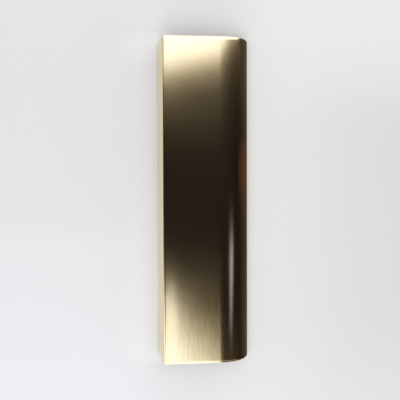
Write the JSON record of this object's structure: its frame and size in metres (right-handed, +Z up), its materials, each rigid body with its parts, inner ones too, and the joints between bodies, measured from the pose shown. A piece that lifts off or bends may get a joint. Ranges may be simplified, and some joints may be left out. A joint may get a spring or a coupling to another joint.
{
  "type": "finger pull profile",
  "caption": "Open J-section brass pull: a flat plate with a square back flange and a rounded front lip that fingers hook behind.",
  "frame": {"origin": "On the floor that the part rests on, under the middle of its box", "axes": "+Z up from the floor; +Y along the profile; +X from the back flange towards the round lip. At rest the plate slopes 9.6 degrees down towards the lip"},
  "size_m": [0.0456, 0.16, 0.0268],
  "materials": {
    "brass": "fine satin, brushed along the profile, unlacquered"
  },
  "bodies": {
    "root": {"finger_pull_profile": "brass"}
  },
  "joints": []
}
